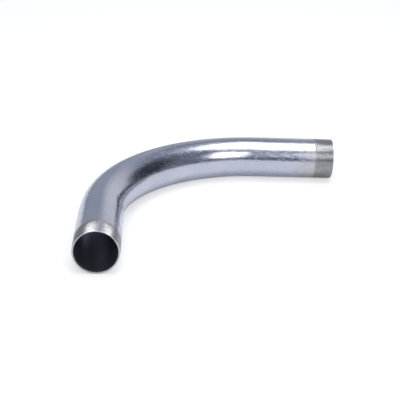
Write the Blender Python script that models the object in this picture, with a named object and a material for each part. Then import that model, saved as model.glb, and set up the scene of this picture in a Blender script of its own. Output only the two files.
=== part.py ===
"""Conduit elbow: one length of steel tube, threaded at both ends and bent through a quarter turn.

The elbow lies flat on Z = 0. Its near leg runs along -Y to an open end and its far leg along +X to the
other. The origin is under the middle of the box that the elbow fills. Lengths are in metres.
"""

import functools
import math

import bmesh
import bpy
from mathutils import Matrix, Vector

# The tube that the elbow is bent from
TUBE_DIAMETER = 0.08829
WALL = 0.00381

# The bend, measured on the centreline
BEND_RADIUS = 0.3302
BEND_ANGLE = math.radians(90)
LEG_LENGTH = 0.1715
BEND_EASE = 0.036
BEND_SQUEEZE = 0.0030

# The ends: the crests of the pipe thread run down a cone, and the mouth is chamfered outside and reamed inside
CREST_DROP = 0.00045
CREST_SLOPE = 1 / 32
MOUTH_CHAMFER = 0.0010
REAM_DEPTH = 0.0005
REAM_LENGTH = 0.0010

# Facets: sides round the tube, and degrees of bend from one ring of points to the next
SIDES = 48
RING_STEP = math.radians(3)

# Finish
ZINC_COLOR = (0.47, 0.49, 0.53, 1.0)
ZINC_ROUGHNESS = 0.35

# Steps in each walk along the centreline, which finds where a ring of points goes
WALK_STEPS = 600


def remove_all_objects():
    for obj in list(bpy.data.objects):
        bpy.data.objects.remove(obj, do_unlink=True)


def arc_length():
    """Length of the centreline round the bend."""
    return BEND_RADIUS * BEND_ANGLE


def tube_length():
    """Length of the straight tube before it is bent."""
    return 2 * LEG_LENGTH + arc_length()


def curvature(along):
    """Curvature of the centreline: none in the legs, full in the bend, and a ramp where one becomes the other."""
    start = LEG_LENGTH - BEND_EASE / 2
    end = LEG_LENGTH + arc_length() - BEND_EASE / 2
    rise = min(max((along - start) / BEND_EASE, 0), 1)
    fall = min(max((along - end) / BEND_EASE, 0), 1)
    return (rise - fall) / BEND_RADIUS


def ring_places():
    """Distances along the tube that get a ring of points between the coned ends."""
    first = LEG_LENGTH - BEND_EASE / 2
    last = LEG_LENGTH + arc_length() + BEND_EASE / 2
    count = math.ceil((last - first) / (BEND_RADIUS * RING_STEP))
    return [first + (last - first) * i / count for i in range(count + 1)]


def tube_profile():
    """The wall's section as points (radius, distance along): up the outer side, then back down the bore."""
    outer = TUBE_DIAMETER / 2
    bore = outer - WALL
    crest = outer - CREST_DROP
    cone = CREST_DROP / CREST_SLOPE
    end = tube_length()
    chamfered = crest - MOUTH_CHAMFER
    at_chamfer = crest + MOUTH_CHAMFER * CREST_SLOPE
    rings = ring_places()
    outside = [
        (chamfered, 0),
        (at_chamfer, MOUTH_CHAMFER),
        (outer, cone),
        *((outer, along) for along in rings),
        (outer, end - cone),
        (at_chamfer, end - MOUTH_CHAMFER),
        (chamfered, end),
    ]
    inside = [
        (bore + REAM_DEPTH, end),
        (bore, end - REAM_LENGTH),
        *((bore, along) for along in reversed(rings)),
        (bore, REAM_LENGTH),
        (bore + REAM_DEPTH, 0),
    ]
    return outside + inside


def turned_tube(bm):
    """Spins the wall's section round the Y axis into a straight tube."""
    corners = [bm.verts.new((radius, along, 0)) for radius, along in tube_profile()]
    edges = [bm.edges.new((corners[i - 1], corners[i])) for i in range(len(corners))]
    bmesh.ops.spin(
        bm,
        geom=corners + edges,
        cent=(0, 0, 0),
        axis=(0, 1, 0),
        angle=2 * math.pi,
        steps=SIDES,
        use_merge=True,
        use_duplicate=False,
    )
    bmesh.ops.recalc_face_normals(bm, faces=bm.faces)


@functools.cache
def centreline(along):
    """Place x, y and heading, turned from +Y towards +X, at a distance along the bent tube from its near mouth."""
    step = along / WALK_STEPS
    x, y, heading = 0.0, 0.0, 0.0
    for i in range(WALK_STEPS):
        turn = curvature((i + 0.5) * step) * step
        x += math.sin(heading + turn / 2) * step
        y += math.cos(heading + turn / 2) * step
        heading += turn
    return x, y, heading


def bend_tube(bm):
    """Moves each point of the straight tube to its place on the bent one, which the bender squeezes oval."""
    for vert in bm.verts:
        x, y, heading = centreline(vert.co.y)
        bent = curvature(vert.co.y) * BEND_RADIUS
        across = vert.co.x * (1 - bent * BEND_SQUEEZE / TUBE_DIAMETER)
        vert.co.x = x + math.cos(heading) * across
        vert.co.y = y - math.sin(heading) * across


def stand_on_floor(bm):
    """Puts the origin under the middle of the elbow's box."""
    low = [min(vert.co[i] for vert in bm.verts) for i in range(3)]
    high = [max(vert.co[i] for vert in bm.verts) for i in range(3)]
    middle = Vector(((low[0] + high[0]) / 2, (low[1] + high[1]) / 2, low[2]))
    bmesh.ops.transform(bm, matrix=Matrix.Translation(-middle), verts=bm.verts)


def zinc_steel():
    material = bpy.data.materials.new("zinc_plated_steel")
    material.use_nodes = True
    shader = material.node_tree.nodes["Principled BSDF"]
    shader.inputs["Base Color"].default_value = ZINC_COLOR
    shader.inputs["Metallic"].default_value = 1.0
    shader.inputs["Roughness"].default_value = ZINC_ROUGHNESS
    material.diffuse_color = ZINC_COLOR
    return material


def conduit_elbow():
    bm = bmesh.new()
    turned_tube(bm)
    bend_tube(bm)
    stand_on_floor(bm)
    mesh = bpy.data.meshes.new("conduit_elbow")
    bm.to_mesh(mesh)
    bm.free()
    mesh.materials.append(zinc_steel())
    mesh.shade_smooth()
    mesh.set_sharp_from_angle(angle=math.radians(20))
    return bpy.data.objects.new("conduit_elbow", mesh)


def main():
    remove_all_objects()
    collection = bpy.data.collections.new("conduit_elbow")
    bpy.context.scene.collection.children.link(collection)
    collection.objects.link(conduit_elbow())


main()
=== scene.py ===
import math

import bmesh
import bpy
from mathutils import Matrix, Vector


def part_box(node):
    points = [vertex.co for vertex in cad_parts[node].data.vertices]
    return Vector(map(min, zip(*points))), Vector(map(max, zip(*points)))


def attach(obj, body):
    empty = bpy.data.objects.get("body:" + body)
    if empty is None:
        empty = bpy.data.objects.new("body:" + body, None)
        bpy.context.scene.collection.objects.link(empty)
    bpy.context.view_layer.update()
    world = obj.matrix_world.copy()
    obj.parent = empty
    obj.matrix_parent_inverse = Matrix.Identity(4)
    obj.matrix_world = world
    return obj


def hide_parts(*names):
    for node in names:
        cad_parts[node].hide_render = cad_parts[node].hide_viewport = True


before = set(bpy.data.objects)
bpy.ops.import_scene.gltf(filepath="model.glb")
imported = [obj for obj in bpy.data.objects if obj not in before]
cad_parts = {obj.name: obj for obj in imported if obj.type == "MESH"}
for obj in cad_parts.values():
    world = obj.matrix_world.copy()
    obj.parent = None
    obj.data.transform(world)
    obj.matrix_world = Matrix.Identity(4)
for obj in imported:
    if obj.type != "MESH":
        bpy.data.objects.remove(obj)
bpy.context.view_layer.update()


# The steel tube
# A conduit elbow is one length of steel tube with a welded, zinc-coated wall. It starts straight, and is sawn
# square, chamfered outside and reamed inside at both mouths.
tube_low, tube_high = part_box("conduit_elbow")
TUBE_RADIUS = (tube_high.z - tube_low.z) / 2
WALL = 0.00381
BORE_RADIUS = TUBE_RADIUS - WALL
BEND_RADIUS = 0.3302
BEND_ANGLE = math.radians(90)
LEG_LENGTH = 0.1715
BEND_ARC = BEND_RADIUS * BEND_ANGLE
TUBE_LENGTH = 2 * LEG_LENGTH + BEND_ARC
MOUTH_CHAMFER = 0.0005
REAM_DEPTH = 0.0005
REAM_LENGTH = 0.0010

TUBE_SIDES = 128
OUTER_RING_GAP = 0.0030
BORE_RING_GAP = 0.0080


def spaced(start, end, gap):
    """Distances from start up to, but not including, end, evenly spaced and about a gap apart."""
    count = max(1, math.ceil(abs(end - start) / gap))
    return [start + (end - start) * i / count for i in range(count)]


def straight_tube(bm, outer_rings):
    """Spins the wall's section round the Y axis, from the near mouth at Y = 0 to the far one."""
    outside = [(TUBE_RADIUS, along) for along in outer_rings]
    bore_rings = spaced(TUBE_LENGTH - REAM_LENGTH, REAM_LENGTH, BORE_RING_GAP) + [REAM_LENGTH]
    inside = [(BORE_RADIUS + REAM_DEPTH, TUBE_LENGTH)]
    inside += [(BORE_RADIUS, along) for along in bore_rings]
    inside += [(BORE_RADIUS + REAM_DEPTH, 0)]
    section = [bm.verts.new((0, along, radius)) for radius, along in outside + inside]
    edges = [bm.edges.new((section[i - 1], section[i])) for i in range(len(section))]
    bmesh.ops.spin(
        bm,
        geom=section + edges,
        cent=(0, 0, 0),
        axis=(0, 1, 0),
        angle=2 * math.pi,
        steps=TUBE_SIDES,
        use_merge=True,
        use_duplicate=False,
    )
    bmesh.ops.recalc_face_normals(bm, faces=bm.faces)


# The pipe threads
# Both ends carry a right-handed taper pipe thread, cut by a die through the zinc into bare steel. The crests
# are cut off where they meet the tube's own surface, and the last turns get shallower until they run out.
THREAD_PITCH = 0.003175
THREAD_LENGTH = 0.0414
FULL_THREAD_LENGTH = 0.0370
THREAD_SLOPE = 1 / 32
PITCH_RADIUS = 0.043200
CREST_RADIUS = 0.043695
THREAD_HEIGHT = 0.00180
SHARP_HEIGHT_TO_PITCH = 0.866
SHARP_HEIGHT = SHARP_HEIGHT_TO_PITCH * THREAD_PITCH
RINGS_PER_PITCH = 14

# Share of a wall, ream or chamfer that still counts as the surface beside it
SURFACE_MARGIN = 1 / 4


def thread_radius(along, angle):
    """Radius of the threaded end's surface at a place along the tube and an angle round it."""
    depth_in = min(along, TUBE_LENGTH - along)
    taper = depth_in * THREAD_SLOPE
    turn = (along / THREAD_PITCH - angle / (2 * math.pi)) % 1
    sharp = PITCH_RADIUS + taper + SHARP_HEIGHT / 2 * (1 - 4 * abs(turn - 0.5))
    root = PITCH_RADIUS + taper - THREAD_HEIGHT / 2
    run_out = max(0, depth_in - FULL_THREAD_LENGTH) / (THREAD_LENGTH - FULL_THREAD_LENGTH)
    root += (TUBE_RADIUS - root) * min(run_out, 1)
    crest = min(CREST_RADIUS + taper, TUBE_RADIUS)
    chamfer = CREST_RADIUS - MOUTH_CHAMFER + depth_in
    return min(max(sharp, root), crest, chamfer)


def cut_threads(bm):
    """Moves both ends' outer points in to the thread's surface, and marks how deep in a groove each lies."""
    groove = bm.verts.layers.float.new("groove")
    outer_limit = TUBE_RADIUS - WALL * SURFACE_MARGIN
    for vert in bm.verts:
        radius = math.hypot(vert.co.x, vert.co.z)
        along = vert.co.y
        if radius < outer_limit or THREAD_LENGTH < along < TUBE_LENGTH - THREAD_LENGTH:
            continue
        cut_radius = thread_radius(along, math.atan2(vert.co.x, vert.co.z))
        taper = min(along, TUBE_LENGTH - along) * THREAD_SLOPE
        vert[groove] = min((min(CREST_RADIUS + taper, TUBE_RADIUS) - cut_radius) / THREAD_HEIGHT, 1)
        vert.co.x *= cut_radius / radius
        vert.co.z *= cut_radius / radius


# The bend
# The tube is bent cold round a shoe. The curvature builds up over a short length at each end of the bend, and
# the shoe squeezes the section slightly oval in the plane of the bend.
BEND_EASE = 0.036
BEND_SQUEEZE = 0.0030
WALK_STEPS = 6000
SHARP_EDGE_ANGLE = math.radians(25)


def curvature(along):
    start = LEG_LENGTH - BEND_EASE / 2
    end = LEG_LENGTH + BEND_ARC - BEND_EASE / 2
    rise = min(max((along - start) / BEND_EASE, 0), 1)
    fall = min(max((along - end) / BEND_EASE, 0), 1)
    return (rise - fall) / BEND_RADIUS


def walk_centreline():
    """Places x, y and heading at even steps along the bent centreline, the heading from +Y towards +X."""
    step = TUBE_LENGTH / WALK_STEPS
    x, y, heading = 0.0, 0.0, 0.0
    walk = [(x, y, heading)]
    for i in range(WALK_STEPS):
        turn = curvature((i + 0.5) * step) * step
        x += math.sin(heading + turn / 2) * step
        y += math.cos(heading + turn / 2) * step
        heading += turn
        walk.append((x, y, heading))
    return walk


def bend_tube(bm):
    """Bends the straight tube and keeps each point's straight place for the finish to follow."""
    unbent = bm.verts.layers.float_vector.new("unbent")
    walk = walk_centreline()
    for vert in bm.verts:
        vert[unbent] = vert.co
        steps = min(max(vert.co.y / TUBE_LENGTH, 0), 1) * WALK_STEPS
        before = min(int(steps), WALK_STEPS - 1)
        share = steps - before
        x, y, heading = (a + (b - a) * share for a, b in zip(walk[before], walk[before + 1]))
        squeeze = curvature(vert.co.y) * BEND_RADIUS * BEND_SQUEEZE / (2 * TUBE_RADIUS)
        across = vert.co.x * (1 - squeeze)
        vert.co = Vector((x + math.cos(heading) * across, y - math.sin(heading) * across, vert.co.z))


bm = bmesh.new()
body_end = TUBE_LENGTH - THREAD_LENGTH
thread_gap = THREAD_PITCH / RINGS_PER_PITCH
rings = spaced(0, MOUTH_CHAMFER, thread_gap) + spaced(MOUTH_CHAMFER, THREAD_LENGTH, thread_gap)
rings += spaced(THREAD_LENGTH, body_end, OUTER_RING_GAP)
rings += spaced(body_end, TUBE_LENGTH - MOUTH_CHAMFER, thread_gap)
rings += spaced(TUBE_LENGTH - MOUTH_CHAMFER, TUBE_LENGTH, thread_gap) + [TUBE_LENGTH]
straight_tube(bm, rings)
cut_threads(bm)

# Threads, chamfers and reams are bare steel. The flat rings at the mouths are as pale as the coat.
ZINC, CUT_STEEL, LINING = range(3)
for face in bm.faces:
    face_middle = face.calc_center_median()
    radius = math.hypot(face_middle.x, face_middle.z)
    from_mouth = min(face_middle.y, TUBE_LENGTH - face_middle.y)
    if radius < BORE_RADIUS + REAM_DEPTH * SURFACE_MARGIN:
        face.material_index = LINING
    elif MOUTH_CHAMFER * SURFACE_MARGIN < from_mouth < THREAD_LENGTH:
        face.material_index = CUT_STEEL
    else:
        face.material_index = ZINC

bend_tube(bm)
low = Vector([min(vert.co[i] for vert in bm.verts) for i in range(3)])
high = Vector([max(vert.co[i] for vert in bm.verts) for i in range(3)])
under_middle = Vector(((low.x + high.x) / 2, (low.y + high.y) / 2, low.z))
bmesh.ops.transform(bm, matrix=Matrix.Translation(-under_middle), verts=bm.verts)

elbow_mesh = bpy.data.meshes.new("elbow_tube")
bm.to_mesh(elbow_mesh)
bm.free()
elbow_mesh.shade_smooth()
elbow_mesh.set_sharp_from_angle(angle=SHARP_EDGE_ANGLE)
elbow = bpy.data.objects.new("elbow_tube", elbow_mesh)
bpy.context.scene.collection.objects.link(elbow)
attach(elbow, "root")
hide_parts("conduit_elbow")


# The drawn grain
# Every surface of the tube carries marks that run along it, from the mill's rolls and the bender's shoe. This
# group gives them as two patterns: fine streaks and broad clouds, both following the tube round the bend.
STREAK_DETAIL = 3.0
CLOUD_DETAIL = 4.0
NOISE_ROUGHNESS = 0.6
CLOUD_LENGTH = 2.0
PATTERN_MIDDLE = (0.3, 0.7)


def group_socket(group, name, direction, value=None):
    socket = group.interface.new_socket(name=name, in_out=direction, socket_type="NodeSocketFloat")
    if value is not None:
        socket.default_value = value


def drawn_grain_group():
    group = bpy.data.node_groups.new("drawn_grain", "ShaderNodeTree")
    group_socket(group, "Streak Scale", "INPUT", 600.0)
    group_socket(group, "Streak Length", "INPUT", 8.0)
    group_socket(group, "Cloud Scale", "INPUT", 30.0)
    group_socket(group, "Streaks", "OUTPUT")
    group_socket(group, "Clouds", "OUTPUT")
    nodes, links = group.nodes, group.links
    given = nodes.new("NodeGroupInput")
    result = nodes.new("NodeGroupOutput")
    place = nodes.new("ShaderNodeAttribute")
    place.attribute_name = "unbent"
    shorten = nodes.new("ShaderNodeMath")
    shorten.operation = "DIVIDE"
    shorten.inputs[0].default_value = 1.0
    links.new(given.outputs["Streak Length"], shorten.inputs[1])
    squash = nodes.new("ShaderNodeCombineXYZ")
    squash.inputs["X"].default_value = 1.0
    squash.inputs["Z"].default_value = 1.0
    links.new(shorten.outputs[0], squash.inputs["Y"])
    along = nodes.new("ShaderNodeVectorMath")
    along.operation = "MULTIPLY"
    links.new(place.outputs["Vector"], along.inputs[0])
    links.new(squash.outputs[0], along.inputs[1])
    streaks = nodes.new("ShaderNodeTexNoise")
    streaks.inputs["Detail"].default_value = STREAK_DETAIL
    streaks.inputs["Roughness"].default_value = NOISE_ROUGHNESS
    links.new(along.outputs[0], streaks.inputs["Vector"])
    links.new(given.outputs["Streak Scale"], streaks.inputs["Scale"])
    links.new(streaks.outputs["Fac"], result.inputs["Streaks"])
    lengthen = nodes.new("ShaderNodeVectorMath")
    lengthen.operation = "MULTIPLY"
    lengthen.inputs[1].default_value = (1.0, 1.0 / CLOUD_LENGTH, 1.0)
    links.new(place.outputs["Vector"], lengthen.inputs[0])
    clouds = nodes.new("ShaderNodeTexNoise")
    clouds.inputs["Detail"].default_value = CLOUD_DETAIL
    clouds.inputs["Roughness"].default_value = NOISE_ROUGHNESS
    links.new(lengthen.outputs[0], clouds.inputs["Vector"])
    links.new(given.outputs["Cloud Scale"], clouds.inputs["Scale"])
    links.new(clouds.outputs["Fac"], result.inputs["Clouds"])
    return group


drawn_grain = drawn_grain_group()


def grain_node(nodes, sizes):
    """Places the grain in a material. A size that the material doesn't give stays as the group has it."""
    grain = nodes.new("ShaderNodeGroup")
    grain.node_tree = drawn_grain
    for name, value in sizes.items():
        grain.inputs[name].default_value = value
    return grain


def spread(nodes, links, source, results, reach=PATTERN_MIDDLE):
    """Maps a value's reach onto a range of results, and holds the end results beyond it."""
    ramp = nodes.new("ShaderNodeMapRange")
    ramp.inputs["From Min"].default_value, ramp.inputs["From Max"].default_value = reach
    ramp.inputs["To Min"].default_value, ramp.inputs["To Max"].default_value = results
    links.new(source, ramp.inputs["Value"])
    return ramp.outputs["Result"]


def blend_colors(nodes, links, factor, first, second):
    mix = nodes.new("ShaderNodeMix")
    mix.data_type = "RGBA"
    mix.inputs["A"].default_value = (*first, 1.0)
    mix.inputs["B"].default_value = (*second, 1.0)
    links.new(factor, mix.inputs["Factor"])
    return mix.outputs["Result"]


def new_material(name):
    material = bpy.data.materials.new(name)
    material.use_nodes = True
    tree = material.node_tree
    return material, tree.nodes, tree.links, tree.nodes["Principled BSDF"]


# The zinc coat
# Electroplated zinc over the drawn steel: a cool grey metal with a soft gloss, cloudy and faintly streaked.
# Towards the threads it is dull from the die's grip, and the steel's warmer grey comes through in patches.
ZINC_LIGHT = (0.568, 0.575, 0.648)
ZINC_DULL = (0.490, 0.515, 0.622)
ZINC_GRIPPED = (0.515, 0.510, 0.535)
ZINC_GRAIN = {"Streak Scale": 300.0, "Streak Length": 4.0, "Cloud Scale": 26.0}
ZINC_ROUGHNESS = (0.15, 0.29)
ZINC_STREAKS = (0.40, 0.66)
GRIP_LENGTH = 0.050
GRIP_PATCHES = (0.1, 1.3)
GRIP_CLOUDS = (0.35, 0.6)
GRIP_ROUGHNESS = 0.14
DIMPLE_GRAIN = {"Streak Scale": 320.0, "Streak Length": 1.6}
DIMPLE_STRENGTH = 0.5
DIMPLE_DEPTH = 0.00022
BRUSHED_STRENGTH = 0.12
BRUSHED_DEPTH = 0.0002


def distance_from_mouths(nodes, links):
    """How far along the tube a point lies from the nearer mouth."""
    place = nodes.new("ShaderNodeAttribute")
    place.attribute_name = "unbent"
    parts = nodes.new("ShaderNodeSeparateXYZ")
    links.new(place.outputs["Vector"], parts.inputs[0])
    from_far = nodes.new("ShaderNodeMath")
    from_far.operation = "SUBTRACT"
    from_far.inputs[0].default_value = TUBE_LENGTH
    links.new(parts.outputs["Y"], from_far.inputs[1])
    nearer = nodes.new("ShaderNodeMath")
    nearer.operation = "MINIMUM"
    links.new(parts.outputs["Y"], nearer.inputs[0])
    links.new(from_far.outputs[0], nearer.inputs[1])
    return nearer.outputs[0]


def combine(nodes, links, operation, first, second):
    """Joins a value to another value or to a plain number, and keeps the result from 0 to 1."""
    math_node = nodes.new("ShaderNodeMath")
    math_node.operation = operation
    math_node.use_clamp = True
    links.new(first, math_node.inputs[0])
    if isinstance(second, float):
        math_node.inputs[1].default_value = second
    else:
        links.new(second, math_node.inputs[1])
    return math_node.outputs[0]


def paint_over(nodes, links, under, mask, color):
    mix = nodes.new("ShaderNodeMix")
    mix.data_type = "RGBA"
    links.new(mask, mix.inputs["Factor"])
    links.new(under, mix.inputs["A"])
    mix.inputs["B"].default_value = (*color, 1.0)
    return mix.outputs["Result"]


def zinc_material():
    material, nodes, links, shader = new_material("zinc_coat")
    grain = grain_node(nodes, ZINC_GRAIN)
    clouds, streaks = grain.outputs["Clouds"], grain.outputs["Streaks"]
    grip_reach = (THREAD_LENGTH, THREAD_LENGTH + GRIP_LENGTH)
    near_grip = spread(nodes, links, distance_from_mouths(nodes, links), (1.0, 0.0), grip_reach)
    patches = spread(nodes, links, clouds, GRIP_PATCHES, GRIP_CLOUDS)
    gripped = combine(nodes, links, "MULTIPLY", near_grip, patches)
    coat = blend_colors(nodes, links, spread(nodes, links, clouds, (0.0, 1.0)), ZINC_LIGHT, ZINC_DULL)
    links.new(paint_over(nodes, links, coat, gripped, ZINC_GRIPPED), shader.inputs["Base Color"])
    dimples = grain_node(nodes, DIMPLE_GRAIN)
    gloss = spread(nodes, links, streaks, ZINC_ROUGHNESS, ZINC_STREAKS)
    rougher = nodes.new("ShaderNodeMath")
    rougher.operation = "MULTIPLY_ADD"
    links.new(gripped, rougher.inputs[0])
    rougher.inputs[1].default_value = GRIP_ROUGHNESS
    links.new(gloss, rougher.inputs[2])
    links.new(rougher.outputs[0], shader.inputs["Roughness"])
    shader.inputs["Metallic"].default_value = 1.0
    dimpled = nodes.new("ShaderNodeBump")
    dimpled.inputs["Strength"].default_value = DIMPLE_STRENGTH
    dimpled.inputs["Distance"].default_value = DIMPLE_DEPTH
    links.new(dimples.outputs["Streaks"], dimpled.inputs["Height"])
    brushed = nodes.new("ShaderNodeBump")
    brushed.inputs["Strength"].default_value = BRUSHED_STRENGTH
    brushed.inputs["Distance"].default_value = BRUSHED_DEPTH
    links.new(streaks, brushed.inputs["Height"])
    links.new(dimpled.outputs["Normal"], brushed.inputs["Normal"])
    links.new(brushed.outputs["Normal"], shader.inputs["Normal"])
    return material


# The cut steel of the threads
# Bare steel where the die and the reamer have cut the zinc away: a neutral grey, streaked along the tube. The
# crests are scuffed and duller, the grooves brighter and smoother, and the last turns faintly warm.
STEEL_BRIGHT = (0.42, 0.415, 0.42)
STEEL_DULL = (0.25, 0.25, 0.265)
STEEL_GROOVE = (0.52, 0.52, 0.53)
STEEL_TINTED = (0.38, 0.365, 0.345)
STEEL_GRAIN = {"Streak Scale": 240.0, "Streak Length": 14.0}
STEEL_STREAKS = (0.38, 0.62)
GROOVE_DEPTHS = (0.02, 0.3)
CREST_TO_GROOVE_ROUGHNESS = (0.42, 0.22)


def cut_steel_material():
    material, nodes, links, shader = new_material("cut_steel")
    grain = grain_node(nodes, STEEL_GRAIN)
    tone = spread(nodes, links, grain.outputs["Streaks"], (0.0, 1.0), STEEL_STREAKS)
    crest = blend_colors(nodes, links, tone, STEEL_DULL, STEEL_BRIGHT)
    depth = nodes.new("ShaderNodeAttribute")
    depth.attribute_name = "groove"
    groove = spread(nodes, links, depth.outputs["Fac"], (0.0, 1.0), GROOVE_DEPTHS)
    steel = paint_over(nodes, links, crest, groove, STEEL_GROOVE)
    last_turns = (FULL_THREAD_LENGTH, THREAD_LENGTH)
    run_out = spread(nodes, links, distance_from_mouths(nodes, links), (0.0, 1.0), last_turns)
    links.new(paint_over(nodes, links, steel, run_out, STEEL_TINTED), shader.inputs["Base Color"])
    roughness = spread(nodes, links, groove, CREST_TO_GROOVE_ROUGHNESS, (0.0, 1.0))
    links.new(roughness, shader.inputs["Roughness"])
    shader.inputs["Metallic"].default_value = 1.0
    return material


# The lining of the bore
# The bore keeps a thin, smooth coat of lacquer over the steel, so that cables slide. It shines like the metal
# under it, and looks dark because little light gets in.
LACQUER = (0.69, 0.69, 0.77)
LACQUER_WORN = (0.75, 0.75, 0.83)
LACQUER_GRAIN = {"Cloud Scale": 15.0}
LACQUER_ROUGHNESS = (0.28, 0.31)


def lacquer_material():
    material, nodes, links, shader = new_material("bore_lacquer")
    clouds = grain_node(nodes, LACQUER_GRAIN).outputs["Clouds"]
    tone = spread(nodes, links, clouds, (0.0, 1.0))
    links.new(blend_colors(nodes, links, tone, LACQUER, LACQUER_WORN), shader.inputs["Base Color"])
    links.new(spread(nodes, links, clouds, LACQUER_ROUGHNESS), shader.inputs["Roughness"])
    shader.inputs["Metallic"].default_value = 1.0
    return material


elbow_mesh.materials.append(zinc_material())
elbow_mesh.materials.append(cut_steel_material())
elbow_mesh.materials.append(lacquer_material())


# The floor
# A plain pale floor, which the elbow lies on. Where the camera sees it, part of its white is its own glow,
# which softens the elbow's shadow. The elbow mirrors it with only a faint glow.
FLOOR_SIZE = 40.0
FLOOR_ROUGHNESS = 0.9
FLOOR_COLOR = (0.90, 0.90, 0.90)
FLOOR_GLOW = 0.05
SEEN_FLOOR_COLOR = (0.52, 0.52, 0.52)
SEEN_FLOOR_GLOW = 0.55


def floor_material():
    material, nodes, links, shader = new_material("floor")
    shader.inputs["Roughness"].default_value = FLOOR_ROUGHNESS
    shader.inputs["Specular IOR Level"].default_value = 0.0
    rays = nodes.new("ShaderNodeLightPath")
    camera_ray = rays.outputs["Is Camera Ray"]
    floor_color = blend_colors(nodes, links, camera_ray, FLOOR_COLOR, SEEN_FLOOR_COLOR)
    links.new(floor_color, shader.inputs["Base Color"])
    glossy_ray, through_ray = rays.outputs["Is Glossy Ray"], rays.outputs["Is Transmission Ray"]
    mirrored = combine(nodes, links, "MAXIMUM", through_ray, glossy_ray)
    mirrored_glow = combine(nodes, links, "MULTIPLY", mirrored, FLOOR_GLOW)
    seen_glow = combine(nodes, links, "MULTIPLY", camera_ray, SEEN_FLOOR_GLOW)
    glow = combine(nodes, links, "MAXIMUM", mirrored_glow, seen_glow)
    shader.inputs["Emission Color"].default_value = (1.0, 1.0, 1.0, 1.0)
    links.new(glow, shader.inputs["Emission Strength"])
    return material


floor_mesh = bpy.data.meshes.new("floor")
bm = bmesh.new()
bmesh.ops.create_grid(bm, x_segments=1, y_segments=1, size=FLOOR_SIZE / 2)
bm.to_mesh(floor_mesh)
bm.free()
floor_mesh.materials.append(floor_material())
floor = bpy.data.objects.new("floor", floor_mesh)
bpy.context.scene.collection.objects.link(floor)


# The studio
# Grey walls all round, pale behind the elbow on its right and dim to its right. They are unlit in two spots
# on the right, in one behind the camera on the left, and in a low band behind the camera. A large soft box
# hangs overhead and a smaller one stands on each side of the camera.
WALL_COLORS = (
    (0.00, (0.22, 0.235, 0.28)),
    (0.14, (0.38, 0.41, 0.485)),
    (0.30, (0.42, 0.455, 0.535)),
    (0.55, (0.37, 0.40, 0.47)),
    (0.72, (0.25, 0.27, 0.33)),
    (0.86, (0.55, 0.58, 0.65)),
    (0.94, (0.95, 0.97, 1.00)),
)
PALE_CORNER = (0.78, 0.79, 0.83)
DIM_SIDE = (0.19, 0.205, 0.25)
UNLIT_SIDE = (0.045, 0.048, 0.06)
UNLIT_BASE = (0.11, 0.12, 0.15)

# Azimuth, elevation, inner and outer angle of each patch in degrees, painted in this order
WALL_PATCHES = (
    (95, 32, 16, 44, DIM_SIDE),
    (237, 14, 19, 36, UNLIT_SIDE),
    (24, 13, 7, 28, PALE_CORNER),
    (71, 21, 11, 29, UNLIT_SIDE),
    (27, -3, 3.5, 7.5, UNLIT_SIDE),
)

# Where the unlit band begins and is full, as parts of a unit direction: backwards, upwards and down again
BASE_BEHIND = (-0.2, -0.6)
BASE_RISE = (0.03, 0.11)
BASE_SINK = (0.37, 0.28)
LAMP_AIM = Vector((0, 0, 0.05))


def direction(azimuth, elevation):
    """Unit vector towards a place in the studio, its azimuth in degrees turned from +Y towards +X."""
    across = math.cos(math.radians(elevation))
    turned = math.radians(azimuth)
    up = math.sin(math.radians(elevation))
    return Vector((math.sin(turned) * across, math.cos(turned) * across, up))


def smooth_mask(nodes, links, source, start, end):
    """A mask that rises smoothly from 0 at start to 1 at end."""
    mask = nodes.new("ShaderNodeMapRange")
    mask.interpolation_type = "SMOOTHSTEP"
    mask.inputs["From Min"].default_value = start
    mask.inputs["From Max"].default_value = end
    links.new(source, mask.inputs["Value"])
    return mask.outputs["Result"]


def patch(nodes, links, outlook, azimuth, elevation, inner, outer):
    """A mask that is 1 within inner degrees of a direction and fades to 0 at outer degrees."""
    facing = nodes.new("ShaderNodeVectorMath")
    facing.operation = "DOT_PRODUCT"
    links.new(outlook, facing.inputs[0])
    facing.inputs[1].default_value = direction(azimuth, elevation)
    edge, full = math.cos(math.radians(outer)), math.cos(math.radians(inner))
    return smooth_mask(nodes, links, facing.outputs["Value"], edge, full)


world = bpy.data.worlds.new("studio")
world.use_nodes = True
bpy.context.scene.world = world
nodes, links = world.node_tree.nodes, world.node_tree.links
outlook = nodes.new("ShaderNodeTexCoord").outputs["Generated"]
height = nodes.new("ShaderNodeSeparateXYZ")
links.new(outlook, height.inputs[0])
ramp = nodes.new("ShaderNodeValToRGB")
links.new(height.outputs["Z"], ramp.inputs["Fac"])
while len(ramp.color_ramp.elements) < len(WALL_COLORS):
    ramp.color_ramp.elements.new(0.5)
for element, (position, color) in zip(ramp.color_ramp.elements, WALL_COLORS):
    element.position = position
    element.color = (*color, 1.0)
walls = ramp.outputs["Color"]
for azimuth, elevation, inner, outer, color in WALL_PATCHES:
    mask = patch(nodes, links, outlook, azimuth, elevation, inner, outer)
    walls = paint_over(nodes, links, walls, mask, color)
behind = smooth_mask(nodes, links, height.outputs["Y"], *BASE_BEHIND)
rise = smooth_mask(nodes, links, height.outputs["Z"], *BASE_RISE)
sink = smooth_mask(nodes, links, height.outputs["Z"], *BASE_SINK)
base_band = combine(nodes, links, "MULTIPLY", rise, sink)
base_band = combine(nodes, links, "MULTIPLY", base_band, behind)
walls = paint_over(nodes, links, walls, base_band, UNLIT_BASE)
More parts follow.
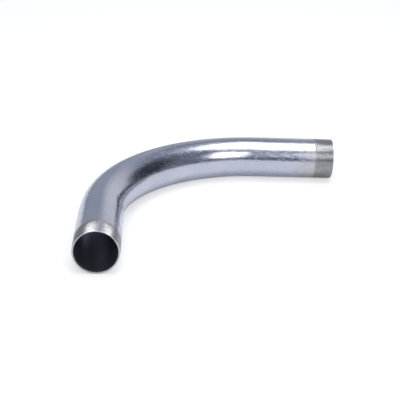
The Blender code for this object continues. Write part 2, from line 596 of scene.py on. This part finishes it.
links.new(walls, nodes["Background"].inputs["Color"])


def aimed(place, target):
    """Matrix that stands something at a place, facing a target along its own -Z."""
    return Matrix.Translation(place) @ (target - place).to_track_quat("-Z", "Y").to_matrix().to_4x4()


def soft_box(name, shape, azimuth, elevation, distance, width, height, radiance):
    light = bpy.data.lights.new(name, "AREA")
    light.shape = shape
    light.size = width
    light.size_y = height
    area = width * height * (math.pi / 4 if shape == "ELLIPSE" else 1)
    light.energy = radiance * area * math.pi
    lamp = bpy.data.objects.new(name, light)
    lamp.matrix_world = aimed(LAMP_AIM + direction(azimuth, elevation) * distance, LAMP_AIM)
    lamp.visible_camera = False
    bpy.context.scene.collection.objects.link(lamp)


soft_box(
    "overhead_box", "ELLIPSE",
    azimuth=90, elevation=84, distance=5.0, width=4.2, height=4.2, radiance=2.5,
)
soft_box(
    "front_right_box", "RECTANGLE",
    azimuth=147, elevation=31, distance=6.0, width=2.6, height=3.0, radiance=3.1,
)
soft_box(
    "front_left_box", "RECTANGLE",
    azimuth=201, elevation=33, distance=6.0, width=2.5, height=2.8, radiance=3.3,
)


# The camera
# It stands about 1.9 m in front of the elbow's middle and 0.84 m up, and looks down on the elbow past its
# near mouth with a long lens, at the photo's angle.
CAMERA_PLACE = (-0.12956, -1.87732, 0.84406)
CAMERA_TURN = (66.642, -2.296, -1.990)
CAMERA_LENS = 89.55
SENSOR_WIDTH = 36.0
NEAREST_SEEN = 0.01
FURTHEST_SEEN = 100.0

camera_data = bpy.data.cameras.new("camera")
camera_data.lens = CAMERA_LENS
camera_data.sensor_width = SENSOR_WIDTH
camera_data.sensor_fit = "HORIZONTAL"
camera_data.clip_start = NEAREST_SEEN
camera_data.clip_end = FURTHEST_SEEN
camera = bpy.data.objects.new("camera", camera_data)
camera.location = CAMERA_PLACE
camera.rotation_euler = [math.radians(angle) for angle in CAMERA_TURN]
bpy.context.scene.collection.objects.link(camera)
bpy.context.scene.camera = camera

bpy.context.scene.view_settings.view_transform = "Standard"
